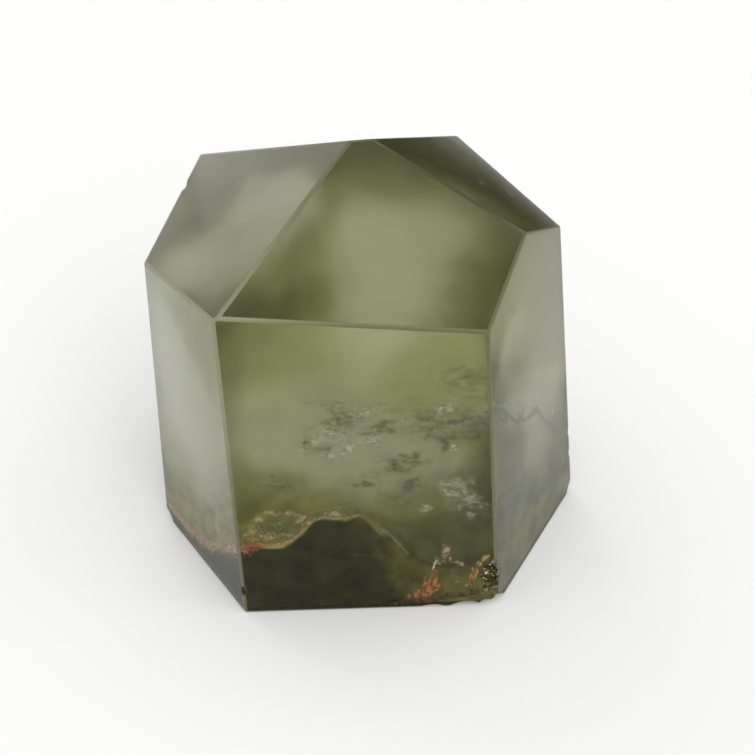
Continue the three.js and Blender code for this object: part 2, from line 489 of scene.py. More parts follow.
HAZE_BALLS = [  # middle, reach, thickness in the middle
    ((-1.0, -8.8, 32.6), 9.8, 0.36),
    ((6.2, -5.5, 33.8), 7.0, 0.12),
    ((-3.0, -14.0, 27.0), 8.5, 0.20),
    ((-11.0, -12.5, 19.2), 9.0, 0.31),
    ((3.0, -12.5, 16.0), 9.0, 0.20),
    ((-4.5, -13.0, 17.0), 10.0, 0.31),
    ((-11.0, -3.5, 36.8), 7.0, 0.72),
    ((-15.0, -8.0, 33.4), 6.5, 0.46),
    ((-17.5, -5.3, 31.8), 5.5, 0.36),
    ((-20.5, -4.5, 20.0), 10.5, 0.95),
    ((-17.5, -9.5, 12.0), 8.5, 0.34),
    ((-21.0, -3.0, 9.0), 7.0, 0.45),
    ((18.8, -6.2, 13.8), 9.5, 0.60),
    ((17.0, -7.0, 30.0), 6.5, 0.50),
    ((16.5, -14.5, 23.0), 9.5, 1.10),
    ((13.5, -10.8, 25.0), 6.4, 1.10),
    ((14.0, -10.4, 19.5), 6.2, 1.20),
    ((-14.2, -16.6, 27.6), 5.5, 0.26),
    ((-12.0, 11.0, 18.0), 9.0, 0.24),
]

# The soft ball effect: 1 in the middle of a ball, fading to 0 at its reach.
soft_ball, given, gives = new_group(
    "soft_ball", [("Place", "Vector", None), ("Centre", "Vector", (0, 0, 0)), ("Reach", "Float", 0.005)],
    [("Mask", "Float")])
gap = add_node(soft_ball, "ShaderNodeVectorMath", {0: given["Place"], 1: given["Centre"]},
               operation="DISTANCE")
fade = add_node(soft_ball, "ShaderNodeMapRange", {"Value": gap.outputs["Value"], "From Max": given["Reach"]},
                {"To Min": 1.0, "To Max": 0.0}, interpolation_type="SMOOTHSTEP")
soft_ball.links.new(fade.outputs[0], gives["Mask"])


def drifting_place(tree, scale, amount, detail=4.0):
    """The place on a piece, pushed about by noise so that what is drawn there has an uneven outline."""
    here = place_on(tree)
    noise = add_node(tree, "ShaderNodeTexNoise", {"Vector": here}, {"Scale": scale, "Detail": detail})
    push = add_node(tree, "ShaderNodeVectorMath", {0: noise.outputs["Color"]}, {1: (0.5, 0.5, 0.5)},
                    operation="SUBTRACT")
    reach = add_node(tree, "ShaderNodeVectorMath", {0: push.outputs[0]}, {"Scale": amount * MM},
                     operation="SCALE")
    return add_node(tree, "ShaderNodeVectorMath", {0: here, 1: reach.outputs[0]}, operation="ADD").outputs[0]


def sum_of_balls(tree, place, balls, base=0.0):
    """The thickness that several soft balls give together."""
    total = base
    for centre, reach, strength in balls:
        mask = use_group(tree, soft_ball, {"Place": place}, Centre=Vector(centre) * MM, Reach=reach * MM)
        total = calculate(tree, "ADD", calculate(tree, "MULTIPLY", mask, strength), total)
    return total


def new_inclusion(name):
    """A material for what lies inside the quartz, which has no gloss of its own there."""
    material, tree, shader = new_material(name)
    shader.inputs["Roughness"].default_value = INCLUSION_ROUGH
    shader.inputs["Specular IOR Level"].default_value = 0.0
    return material, tree, shader


haze_film, tree, shader = new_inclusion("milky_haze")
cloud = sum_of_balls(tree, drifting_place(tree, *HAZE_DRIFT), HAZE_BALLS, HAZE_EVERYWHERE)
swarm = mottled(tree, *HAZE_SWARMS)
grain = calculate(tree, "ADD", calculate(tree, "MULTIPLY", swarm, SWARM_GAIN), SWARM_LEAST)
thickness = calculate(tree, "MINIMUM", calculate(tree, "MULTIPLY", cloud, grain), HAZE_THICKEST)
feed(shader, "Alpha", thickness)
milk = mix_colour(tree, ramp(tree, cloud, *HAZE_PALE_FROM), HAZE_GREEN, HAZE_PALE)
milk = mix_colour(tree, ramp(tree, cloud, *HAZE_WHITE_FROM), milk, HAZE_WHITE)
feed(shader, "Base Color", milk)

for number, depth in enumerate(HAZE_DEPTHS, 1):
    haze = ground_block(f"growth_haze_{number}", depth)
    bpy.ops.object.mode_set(mode="OBJECT")
    apply_modifier(haze, "REMESH", mode="VOXEL", voxel_size=HAZE_VOXEL)
    roughen(haze, *HAZE_RELIEF)
    bpy.ops.object.shade_smooth()
    haze.data.materials.append(haze_film)
    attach(haze, "root")


# Root zone. The foot of the stone grew through dark green chlorite and rusty silt, which fills it up to an
# uneven top like a small mountain range. It was enclosed by the quartz, so it ends just under the facets.
# It is nearly black on the left and a paler green on the right. Where it faces up it takes a paler silt
# colour, which is partly silt and partly painted light falling from above.
UNDER_FACETS = 0.34
ROOT_OUTLINE = [  # place across the stone, height of the top there
    (-22.0, 2.0), (-19.0, 1.9), (-17.8, 1.6), (-16.8, 1.8), (-15.6, 2.6), (-14.7, 4.2), (-13.8, 5.8),
    (-12.8, 7.2), (-11.8, 7.4), (-10.9, 7.6), (-9.8, 7.5), (-8.5, 7.9), (-7.8, 8.6), (-7.2, 9.3),
    (-6.4, 10.4), (-5.5, 10.6), (-3.8, 10.4), (-2.8, 10.8), (-2.2, 10.6), (-1.6, 10.0), (-0.9, 9.2),
    (-0.2, 8.7), (0.6, 7.9), (1.4, 6.8), (2.2, 5.8), (3.4, 4.9), (5.0, 4.3), (8.0, 4.5), (10.2, 5.2),
    (11.4, 5.8), (13.0, 5.8), (14.6, 5.0), (16.5, 4.0), (19.0, 2.6), (22.0, 2.0),
]
ROOT_SPAN = 36
ROOT_VOXEL = 0.28 * MM
ROOT_ROWS = 47
ROOT_CUTS = 3
ROOT_RELIEF = ((2.4, 0.9), (0.8, 0.5))
ROOT_DROP = -30
ROOT_FOOT = 0.3
ROOT_HILLS = [  # place on the plan, height gained, how far the hill spreads
    ((-6.0, 2.0), 2.6, 8.0),
    ((-9.0, -8.0), 1.2, 5.0),
    ((5.0, -10.0), 3.2, 5.0),
    ((9.5, -9.0), 3.6, 5.5),
    ((4.0, 9.0), 3.4, 9.0),
    ((12.0, 4.0), 3.0, 7.0),
    ((-15.0, 7.0), 3.6, 7.0),
    ((14.0, 10.0), 1.6, 6.0),
]
CHLORITE = ((0.003, 0.004, 0.001, 1), (0.026, 0.026, 0.006, 1))
CHLORITE_BROWN = (0.050, 0.020, 0.006, 1)
GREEN_CHLORITE = ((0.100, 0.092, 0.022, 1), (0.21, 0.190, 0.055, 1))
# Paler colours where the root faces up: partly silt, partly painted light from above.
SILT_AND_PAINTED_LIGHT = ((0.22, 0.20, 0.058, 1), (0.54, 0.47, 0.17, 1))
GREEN_SILT_AND_PAINTED_LIGHT = ((0.070, 0.072, 0.022, 1), (0.15, 0.15, 0.055, 1))
EARTH_GRAIN = 420.0
BROWN_CLOUDS = (300.0, 0.58, 0.72)
GREEN_DRIFT = (300.0, 4.0)
GREEN_WAY = (1.0, -0.45, 0.55)
GREEN_SIDE = (0.0086, 0.0126)
SILT_SIDE = (0.0085, 0.0115)
SILT_AND_PAINTED_LIGHT_RISE = (0.1, 0.6)


def strip(name, way, steps, cuts=0):
    """A sheet made by pushing one edge from place to place. A step is the edge's start and its length."""
    way = Vector(way)
    (start, length), *rest = steps
    turn = way.to_track_quat("Y", "Z" if way.z == 0 else "X")
    across = turn @ Vector((length / 2, 0, 0))
    bpy.ops.object.select_all(action="DESELECT")
    bpy.ops.mesh.primitive_plane_add(size=length * MM, rotation=turn.to_euler(),
                                     location=(Vector(start) + way * length / 2 + across) * MM)
    sheet = bpy.context.object
    sheet.name = name
    bpy.ops.object.mode_set(mode="EDIT")
    bpy.ops.mesh.select_all(action="DESELECT")
    bpy.ops.object.mode_set(mode="OBJECT")
    for vertex in sheet.data.vertices:
        vertex.select = vertex.co.x > 0
    bpy.ops.object.mode_set(mode="EDIT")
    bpy.ops.mesh.delete(type="VERT")
    bpy.ops.object.mode_set(mode="OBJECT")
    bpy.ops.object.transform_apply(location=True, rotation=True)
    bpy.ops.object.mode_set(mode="EDIT")
    bpy.ops.mesh.select_all(action="SELECT")
    if cuts:
        bpy.ops.mesh.subdivide(number_cuts=cuts)
    for place, new_length in rest:
        bpy.ops.mesh.extrude_region_move(
            TRANSFORM_OT_translate={"value": (Vector(place) - Vector(start)) * MM})
        if new_length != length:
            stretch = Vector((1, 1, 1)) + way * (new_length / length - 1)
            bpy.ops.transform.resize(value=stretch, center_override=Vector(place) * MM)
        start, length = place, new_length
    bpy.ops.mesh.select_all(action="SELECT")
    return sheet


def raise_hill(place, height, spread):
    """In edit mode, pulls the sheet up round one place, as a proportional edit does."""
    bpy.ops.mesh.select_all(action="DESELECT")
    bpy.ops.object.mode_set(mode="OBJECT")
    vertices = bpy.context.object.data.vertices
    min(vertices, key=lambda v: (v.co.xy - Vector(place) * MM).length).select = True
    bpy.ops.object.mode_set(mode="EDIT")
    bpy.ops.transform.translate(value=(0, 0, height * MM), use_proportional_edit=True,
                                proportional_edit_falloff="SMOOTH", proportional_size=spread * MM)


root_steps = [((x, -ROOT_SPAN / 2, z), ROOT_SPAN) for x, z in ROOT_OUTLINE]
root_zone = strip("root_zone", (0, 1, 0), root_steps, ROOT_ROWS)
bpy.ops.mesh.subdivide(number_cuts=ROOT_CUTS)
for place, height_gained, spread_out in ROOT_HILLS:
    raise_hill(place, height_gained, spread_out)
bpy.ops.object.mode_set(mode="OBJECT")
for size, strength in ROOT_RELIEF:
    roughen(root_zone, size, strength, direction="Z")
bpy.ops.object.mode_set(mode="EDIT")
bpy.ops.mesh.select_all(action="SELECT")
bpy.ops.mesh.extrude_region_move(TRANSFORM_OT_translate={"value": (0, 0, ROOT_DROP * MM)})
grind(SIDE_FACETS, UNDER_FACETS)
bpy.ops.mesh.select_all(action="SELECT")
bpy.ops.mesh.bisect(plane_co=(0, 0, ROOT_FOOT * MM), plane_no=(0, 0, -1), use_fill=True, clear_outer=True)
bpy.ops.mesh.select_all(action="SELECT")
bpy.ops.mesh.normals_make_consistent(inside=False)
bpy.ops.object.mode_set(mode="OBJECT")
apply_modifier(root_zone, "REMESH", mode="VOXEL", voxel_size=ROOT_VOXEL)
bpy.ops.object.shade_smooth()

dark_root, tree, shader = new_inclusion("dark_root")
rise = parts_of(tree, add_node(tree, "ShaderNodeNewGeometry").outputs["Normal"])["Z"]
aside = along(tree, drifting_place(tree, *GREEN_DRIFT), GREEN_WAY)
green_side = ramp(tree, aside, *GREEN_SIDE)
fine = mottled(tree, EARTH_GRAIN)
coarse = mottled(tree, *BROWN_CLOUDS)
chlorite = mix_colour(tree, coarse, mix_colour(tree, fine, *CHLORITE), CHLORITE_BROWN)
chlorite = mix_colour(tree, green_side, chlorite, mix_colour(tree, fine, *GREEN_CHLORITE))
silt_side = ramp(tree, aside, *SILT_SIDE)
silt_and_painted_light = mix_colour(tree, silt_side, mix_colour(tree, fine, *SILT_AND_PAINTED_LIGHT), mix_colour(tree, fine, *GREEN_SILT_AND_PAINTED_LIGHT))
# Faces that look up take the silt colour, partly silt and partly painted light from above.
earth = mix_colour(tree, ramp(tree, rise, *SILT_AND_PAINTED_LIGHT_RISE), chlorite, silt_and_painted_light)
feed(shader, "Base Color", earth)
root_zone.data.materials.append(dark_root)
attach(root_zone, "root")


# Rust seam. Iron-rich water crept along the top of the root zone and left rust there, red where it is
# thick and tan where it is a thin line. It shows on the left and front facets, and a pale thread carries
# it on down the slope to the right.
SEAM_DEPTH = 0.2
SEAM_LEFT = [  # place across, height, how tall the rust stands
    (-19.2, 1.4, 1.4), (-18.4, 1.2, 1.6), (-17.6, 0.9, 1.8), (-16.8, 0.8, 2.1), (-15.9, 1.2, 2.2),
    (-15.0, 2.2, 2.5), (-14.0, 3.9, 2.7),
]
SEAM_FRONT = [
    (-12.7, 6.0, 2.6), (-12.1, 6.3, 2.5), (-11.5, 6.8, 2.1), (-10.9, 7.1, 1.2), (-9.8, 7.3, 0.65),
    (-8.5, 7.7, 0.55), (-7.8, 8.45, 0.55), (-7.2, 9.15, 0.5), (-6.4, 10.2, 0.45), (-5.5, 10.45, 0.4),
    (-3.8, 10.3, 0.35), (-2.6, 10.65, 0.25),
]
SEAM_CUTS = 3
PALE_THREAD = [
    (-0.9, 9.3, 0.2), (-0.5, 8.7, 0.7), (0.0, 8.3, 0.8), (0.4, 8.0, 0.7), (0.9, 7.3, 0.5), (1.5, 6.7, 0.4),
    (2.1, 6.0, 0.2),
]
THREAD_DEPTH = 0.3
THREAD_PALE = (0.42, 0.42, 0.26, 1)
RUST_RED = (0.44, 0.14, 0.045, 1)
RUST_ORANGE = (0.50, 0.22, 0.085, 1)
RUST_PINK = (0.84, 0.63, 0.46, 1)
RUST_TAN = (0.54, 0.42, 0.21, 1)
RUST_DRIFT = (700.0, 1.2)
RED_BALLS = [((-11.8, -15.6, 7.6), 1.7, 1.3)]
ORANGE_BALLS = [((-13.0, -15.0, 7.0), 4.5, 1.7), ((-16.5, -7.5, 2.0), 5.0, 1.1)]
PINK_GRAINS = (3200.0, 0.46, 0.58)
PINK_SHARE = 0.8
DARK_GRAINS = (1700.0, 0.56, 0.68)
DARK_SHARE = 0.6
RUST_FRAY = {"Grain": 2900.0, "Foot": 0.55, "Top": 0.55}
THREAD_FRAY = {"Tear": 3.4, "Thickness": 0.42}


def on_facet(name, x, across, depth):
    """The place under a facet at a depth, from its x and its z on a side facet or its y on a top one."""
    point, normal = facet_plane(name, depth)
    known, sought = (2, 1) if name in SIDE_FACETS else (1, 2)
    place = Vector((x * MM, 0, 0))
    place[known] = across * MM
    rest = (place.x - point.x) * normal.x + (place[known] - point[known]) * normal[known]
    place[sought] = point[sought] - rest / normal[sought]
    return place / MM


def facet_steps(facet, outline, depth):
    """Steps for an upright strip that lies under a facet."""
    return [(on_facet(facet, x, z, depth), tall) for x, z, tall in outline]


def finish_strip(sheet, material):
    """Divides a strip, gives each part of its height its place on the UV map, and adds it to the stone."""
    bpy.ops.uv.reset()
    bpy.ops.mesh.subdivide(number_cuts=SEAM_CUTS)
    bpy.ops.object.mode_set(mode="OBJECT")
    sheet.data.materials.append(material)
    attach(sheet, "root")


# The frayed band effect: a film on an upright strip, torn towards its foot and its top. The strip's UV map
# runs from 1 at the foot to 0 at the top.
frayed_band, given, gives = new_group(
    "frayed_band", [("Foot", "Float", 0.35), ("Top", "Float", 0.35), ("Tear", "Float", 1.8),
                    ("Grain", "Float", 2200.0), ("Thickness", "Float", 0.85)], [("Mask", "Float")])
on_strip = add_node(frayed_band, "ShaderNodeTexCoord")
from_top = parts_of(frayed_band, on_strip.outputs["UV"])["X"]
noise = add_node(frayed_band, "ShaderNodeTexNoise",
                 {"Vector": on_strip.outputs["Object"], "Scale": given["Grain"]}, FINE_NOISE)
centred = calculate(frayed_band, "SUBTRACT", noise.outputs[0], 0.5)
torn = calculate(frayed_band, "MULTIPLY", centred, given["Tear"])
mask = given["Thickness"]
for side, reach in ((from_top, "Top"), (calculate(frayed_band, "SUBTRACT", 1.0, from_top), "Foot")):
    ragged = calculate(frayed_band, "ADD", side, torn)
    fade = add_node(frayed_band, "ShaderNodeMapRange", {"Value": ragged, "From Max": given[reach]},
                    interpolation_type="SMOOTHSTEP")
    mask = calculate(frayed_band, "MULTIPLY", mask, fade.outputs[0])
frayed_band.links.new(mask, gives["Mask"])

rust_film, tree, shader = new_inclusion("rust_film")
place = drifting_place(tree, *RUST_DRIFT)
red = sum_of_balls(tree, place, RED_BALLS)
orange = sum_of_balls(tree, place, ORANGE_BALLS)
pink = calculate(tree, "MULTIPLY", mottled(tree, *PINK_GRAINS), orange)
dark = calculate(tree, "MULTIPLY", mottled(tree, *DARK_GRAINS), DARK_SHARE)
tint = mix_colour(tree, orange, RUST_TAN, RUST_ORANGE)
tint = mix_colour(tree, calculate(tree, "MULTIPLY", pink, PINK_SHARE), tint, RUST_PINK)
tint = mix_colour(tree, calculate(tree, "ADD", red, dark), tint, RUST_RED)
feed(shader, "Base Color", tint)
feed(shader, "Alpha", use_group(tree, frayed_band, **RUST_FRAY))
seam = strip("rust_seam", (0, 0, 1), facet_steps("left", SEAM_LEFT, SEAM_DEPTH)
             + facet_steps("front", SEAM_FRONT, SEAM_DEPTH))
finish_strip(seam, rust_film)

thread_film, tree, shader = new_inclusion("pale_thread")
shader.inputs["Base Color"].default_value = THREAD_PALE
feed(shader, "Alpha", use_group(tree, frayed_band, **THREAD_FRAY))
thread = strip("pale_thread", (0, 0, 1), facet_steps("front", PALE_THREAD, THREAD_DEPTH))
finish_strip(thread, thread_film)


# Healed crack. A crack once ran back and down through the stone from the front facet and the right one.
# It healed, and left a wavy sheet of bubbles and grains, dense near the facets and thin deeper inside.
CRACK_TOP = Vector((5.0, -15.0, 22.6))
CRACK_SLOPE = 41
CRACK_SIZE = (46, 30)
CRACK_CELLS = 150
CRACK_RIPPLES = ((7.0, 2.0), (2.2, 0.9))
CRACK_LEFT_END = (-0.0095, -0.0065)
CRACK_FADES = (-0.015, 0.004)
CRACK_DEEPER = 0.25
CRACK_WISPS = (330.0, 0.44, 0.62)
CRACK_THINNEST = 0.07
CRACK_GAIN = 0.42
WHITE_GRAINS = (700.0, 0.42, 0.58)
BROWN_GRAINS = (420.0, 0.56, 0.66)
SHEET_FOOT = 0.5
CRACK_WHITE = (0.80, 0.82, 0.66, 1)
CRACK_MAUVE = (0.36, 0.35, 0.28, 1)
CRACK_BROWN = (0.34, 0.25, 0.11, 1)
CRACK_LINE = [  # where it ends on the right facet: place across, height, how tall the line is
    (7.9, 21.0, 0.6), (9.0, 20.0, 0.7), (10.0, 18.5, 0.6), (11.2, 16.6, 0.5), (12.4, 15.4, 0.6),
    (13.2, 15.0, 0.7), (14.0, 14.5, 1.1), (14.5, 13.7, 0.8), (15.3, 12.2, 0.7), (16.3, 10.8, 0.9),
    (17.2, 9.1, 0.9), (18.0, 7.4, 0.6), (18.7, 5.8, 0.4),
]
CRACK_BRANCH = [(16.4, 10.8, 0.5), (17.2, 10.3, 0.6), (17.9, 9.6, 0.6), (18.8, 8.2, 0.4)]
LINE_DEPTH = 0.4
LINE_FRAY = {"Tear": 2.6, "Grain": 1500.0, "Thickness": 0.75}
LINE_TAN = (0.17, 0.135, 0.055, 1)


def inner_sheet(name, centre, size, turn, cells, ripples, depth=UNDER_FACETS):
    """A rippled sheet inside the stone, trimmed where it would reach the facets or the sawn base."""
    bpy.ops.object.select_all(action="DESELECT")
    bpy.ops.mesh.primitive_grid_add(x_subdivisions=cells, y_subdivisions=cells, size=1, location=centre * MM)
    sheet = bpy.context.object
    sheet.name = name
    sheet.scale = (size[0] * MM, size[1] * MM, 1)
    sheet.rotation_euler = turn
    bpy.ops.object.transform_apply(location=True, rotation=True, scale=True)
    for ripple_size, strength in ripples:
        roughen(sheet, ripple_size, strength)
    bpy.ops.object.mode_set(mode="EDIT")
    grind([*SIDE_FACETS, *TOP_FACETS], depth, fill=False)
    bpy.ops.mesh.select_all(action="SELECT")
    bpy.ops.mesh.bisect(plane_co=(0, 0, SHEET_FOOT * MM), plane_no=(0, 0, -1), clear_outer=True)
    bpy.ops.object.mode_set(mode="OBJECT")
    bpy.ops.object.shade_smooth()
    return sheet


dip = math.radians(CRACK_SLOPE)
crack_middle = CRACK_TOP + Vector((0, math.cos(dip), -math.sin(dip))) * CRACK_SIZE[1] / 2
healed_crack = inner_sheet("healed_crack", crack_middle, CRACK_SIZE, Matrix.Rotation(-dip, 3, "X").to_euler(),
                           CRACK_CELLS, CRACK_RIPPLES)

crack_film, tree, shader = new_inclusion("healed_crack")
sides = parts_of(tree, place_on(tree))
begins = ramp(tree, sides["X"], *CRACK_LEFT_END)
near_front = ramp(tree, sides["Y"], *CRACK_FADES, 1.0, CRACK_DEEPER)
wispy = calculate(tree, "MULTIPLY", mottled(tree, *CRACK_WISPS), CRACK_GAIN)
thin = calculate(tree, "ADD", wispy, CRACK_THINNEST)
cover = calculate(tree, "MULTIPLY", calculate(tree, "MULTIPLY", thin, near_front), begins)
feed(shader, "Alpha", cover)
tint = mix_colour(tree, mottled(tree, *WHITE_GRAINS), CRACK_MAUVE, CRACK_WHITE)
tint = mix_colour(tree, mottled(tree, *BROWN_GRAINS), tint, CRACK_BROWN)
feed(shader, "Base Color", tint)
healed_crack.data.materials.append(crack_film)
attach(healed_crack, "root")

crack_line_film, tree, shader = new_inclusion("crack_line")
shader.inputs["Base Color"].default_value = LINE_TAN
feed(shader, "Alpha", use_group(tree, frayed_band, **LINE_FRAY))
for name, outline in (("crack_line", CRACK_LINE), ("crack_branch", CRACK_BRANCH)):
    finish_strip(strip(name, (0, 0, 1), facet_steps("right", outline, LINE_DEPTH)), crack_line_film)


# Veil. Where the healed crack comes near the front facet it frays into pale, brown and mauve wisps of
# bubbles and silt, which lie almost flat under the facet. A few green ones lie elsewhere. Faint dark films
# under the front and front top facets are painted shade.
VEIL_CELLS = 24
# Each kind of wisp has its colour and thickness. Each wisp has its facet, place across, height or place
# back, depth, width, how tall it is, and turn.
VEIL_WISPS = {
    "pale": ((0.72, 0.75, 0.55, 1), 0.74, [
        ("front", -6.2, 19.2, 0.5, 3.6, 2.2, 8), ("front", -3.0, 21.4, 0.6, 3.8, 1.2, 0),
        ("front", -4.4, 17.6, 0.7, 5.6, 2.0, 12), ("front", -1.6, 18.6, 0.7, 4.2, 1.6, 10),
        ("front", -7.8, 17.7, 0.7, 2.2, 1.6, 0), ("front", 4.2, 21.8, 0.5, 3.0, 1.2, 14),
        ("front", 5.2, 20.1, 0.5, 4.0, 1.1, 6), ("front", 5.4, 17.8, 0.4, 1.3, 1.2, 0),
        ("front", 5.3, 13.2, 0.9, 3.2, 3.0, 60), ("front", 3.4, 11.2, 0.8, 1.6, 1.0, 20),
        ("front", 7.2, 21.4, 0.6, 2.6, 1.0, 4), ("front", 5.0, 16.4, 0.8, 2.0, 1.2, 30),
        ("front", 6.8, 12.0, 1.0, 3.4, 3.6, 40), ("front", 0.6, 20.3, 0.6, 3.0, 0.8, 4),
        ("right", 16.4, 12.4, 0.5, 1.2, 1.3, 0), ("right", 18.6, 5.2, 0.5, 1.0, 1.6, 0),
    ]),
    "brown": ((0.21, 0.165, 0.065, 1), 0.86, [
        ("front", -5.1, 21.9, 0.25, 1.8, 1.6, 0), ("front", -4.3, 20.8, 0.3, 4.0, 1.5, 4),
        ("front", -7.5, 18.6, 0.25, 1.1, 2.0, 0), ("front", -6.0, 17.8, 0.25, 3.0, 0.9, 10),
        ("front", 0.8, 16.2, 0.5, 5.0, 2.0, 8), ("front", -1.0, 20.2, 0.4, 2.6, 0.9, 0),
        ("front", -9.0, 14.0, 0.8, 4.0, 1.4, 0), ("front", -2.0, 14.4, 0.8, 5.0, 1.8, 6),
        ("right", 11.8, 16.6, 0.5, 2.6, 1.2, -20), ("front", 4.4, 18.0, 0.4, 0.8, 1.2, 0),
    ]),
    "mauve": ((0.20, 0.19, 0.155, 1), 0.90, [
        ("front", 3.1, 20.5, 0.6, 6.4, 2.2, 6), ("front", 7.0, 20.7, 0.5, 4.8, 2.2, 4),
        ("front", 5.0, 18.9, 0.7, 9.0, 1.3, 2), ("front", -2.0, 19.6, 0.7, 5.4, 0.9, 2),
        ("front", 1.9, 13.8, 0.5, 3.6, 1.2, 52), ("right", 9.6, 18.9, 0.6, 4.0, 2.0, -30),
    ]),
    "green": ((0.32, 0.35, 0.17, 1), 0.80, [
        ("right_top", 6.3, 3.0, 0.9, 3.2, 0.7, -12), ("right_top", 8.3, 1.7, 0.9, 2.0, 0.6, -20),
        ("right_top", 11.0, 2.6, 1.2, 3.6, 1.4, -20), ("front", 2.6, 2.8, 0.4, 2.4, 2.8, 50),
        ("front", 6.6, 3.4, 0.4, 2.6, 2.8, 20),
    ]),
    # Faint dark films that are painted shade over parts of the front and front top facets.
    "painted_shade": ((0.05, 0.055, 0.018, 1), 0.24, [
        ("front", 5.6, 24.4, 0.8, 5.0, 3.6, 0), ("front", 6.0, 23.8, 1.5, 5.0, 3.0, 0),
        ("front", 5.0, 24.8, 2.2, 4.6, 3.4, 0), ("front", 1.2, 12.6, 0.9, 5.0, 2.4, 10),
        ("front", 0.8, 12.2, 1.5, 4.0, 2.0, 0), ("front_top", -8.0, -7.8, 1.2, 5.0, 2.0, 41),
        ("front_top", -2.6, -4.6, 1.4, 5.6, 2.4, 0), ("front_top", 3.6, -11.2, 1.2, 6.0, 2.6, 0),
        ("front_top", 4.6, -8.4, 1.6, 5.0, 2.6, 20),
    ]),
}
WISP_STRETCH = (0.45, 1, 1)
WISP_GRAIN = 2700.0
WISP_MARGIN = (1.5, 1.9)  # a sheet is this much wider and taller than the wisp on it
WISP_TIP = 14
PATCH_COVER = 0.12
PATCH_RIPPLES = ((2.0, 0.25),)
PATCH_CLOUDS = 0.7
PATCH_DIM = 0.6
PATCH_TEARS = {"Low": 0.40, "High": 0.60}
PATCH_SHORE = (0.12, 0.49)
BAY_SIZE = 0.3
BAY_DEPTH = 0.20

# The ragged patch effect: a soft patch on a sheet's own UV map, torn by noise. Thickest in the middle.
ragged_patch, given, gives = new_group(
    "ragged_patch", [("Grain", "Float", 2200.0), ("Thickness", "Float", 0.7),
                     ("Stretch", "Vector", (1, 1, 1))], [("Mask", "Float")])
on_sheet = add_node(ragged_patch, "ShaderNodeTexCoord").outputs["UV"]
from_middle = add_node(ragged_patch, "ShaderNodeVectorMath", {0: on_sheet}, {1: (0.5, 0.5, 0.0)},
                       operation="DISTANCE").outputs["Value"]
tears = use_group(ragged_patch, mottle, {"Scale": given["Grain"], "Stretch": given["Stretch"]},
                  **PATCH_TEARS)
wide_grain = calculate(ragged_patch, "MULTIPLY", given["Grain"], BAY_SIZE)
bays = calculate(ragged_patch, "MULTIPLY", use_group(ragged_patch, mottle, {"Scale": wide_grain}), BAY_DEPTH)
shore = calculate(ragged_patch, "ADD", from_middle, bays)
body = calculate(ragged_patch, "MULTIPLY", ramp(ragged_patch, shore, *PATCH_SHORE, 1.0, 0.0), tears)
ragged_patch.links.new(calculate(ragged_patch, "MULTIPLY", body, given["Thickness"]), gives["Mask"])


def join_pieces(name, pieces, material):
    """Makes one piece of several, and adds it to the stone."""
    bpy.ops.object.select_all(action="DESELECT")
    for piece in pieces:
        piece.select_set(True)
    bpy.context.view_layer.objects.active = pieces[0]
    if len(pieces) > 1:
        bpy.ops.object.join()
    joined = bpy.context.object
    joined.name = name
    joined.data.materials.append(material)
    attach(joined, "root")


def dimmed(colour, share):
    """A darker shade of a colour."""
    return tuple(channel * share for channel in colour[:3]) + (1,)


def patch_material(name, colour, thickness, grain, stretch=(1, 1, 1)):
    """A ragged film whose colour varies a little over it."""
    material, tree, shader = new_inclusion(name)
    tint = mix_colour(tree, mottled(tree, grain * PATCH_CLOUDS), dimmed(colour, PATCH_DIM), colour)
    feed(shader, "Base Color", tint)
    film = use_group(tree, ragged_patch, Grain=grain, Thickness=thickness, Stretch=stretch)
    feed(shader, "Alpha", film)
    return material


def facet_patch(facet, x, across, depth, width, tall, turned, tip=0):
    """A small rippled sheet under a facet at a place and depth, turned in its plane and tipped back."""
    way = facet_plane(facet)[1].to_track_quat("Z", "Y").to_matrix()
    way = way @ Matrix.Rotation(math.radians(turned), 3, "Z") @ Matrix.Rotation(math.radians(-tip), 3, "X")
    return inner_sheet("patch", on_facet(facet, x, across, depth), (width, tall), way.to_euler(), VEIL_CELLS,
                       PATCH_RIPPLES, PATCH_COVER)


for kind, (colour, thickness, wisps) in VEIL_WISPS.items():
    film = patch_material(f"{kind}_wisp", colour, thickness, WISP_GRAIN, WISP_STRETCH)
    sheets = [facet_patch(facet, x, across, depth, width * WISP_MARGIN[0], tall * WISP_MARGIN[1], turned,
                          WISP_TIP)
              for facet, x, across, depth, width, tall, turned in wisps]
    join_pieces(f"{kind}_wisps", sheets, film)


# Pocket. Just above the seam's left end the rust outlines a small pocket of pale grey-green silt with a
# ragged tan and pinkish fringe. Tan wisps like it stand over the rust at the foot.
POCKET_FRINGE = [  # place across, height, depth, width, how tall, turn
    (-11.7, 9.2, 0.4, 1.9, 3.0, 20), (-11.2, 10.3, 0.4, 2.6, 2.0, 35), (-10.0, 11.1, 0.4, 3.2, 1.7, 5),
    (-8.7, 11.0, 0.4, 3.0, 1.5, -10), (-7.6, 10.4, 0.4, 1.7, 2.2, -20), (-7.4, 9.3, 0.4, 1.3, 2.2, 0),
    (-10.4, 8.5, 0.4, 3.6, 1.6, -5), (-8.7, 8.6, 0.4, 2.8, 1.4, 15), (-12.4, 8.7, 0.4, 2.2, 2.2, 0),
    (-6.9, 9.9, 0.4, 1.8, 1.5, 50), (-4.4, 10.9, 0.4, 5.0, 1.2, 0), (-11.8, 8.2, 0.35, 2.4, 1.6, 0),
    (5.3, 6.6, 0.35, 2.0, 3.2, 12), (5.8, 5.6, 0.30, 2.6, 2.2, -10), (6.7, 4.9, 0.35, 2.4, 1.4, -15),
    (5.0, 5.2, 0.40, 2.0, 2.0, 0),
]
POCKET_SILT = [(-9.8, 9.6, 0.6, 4.6, 3.4, 0), (-10.9, 9.0, 0.6, 3.0, 2.4, 0)]
POCKET_GRAIN = 3200.0
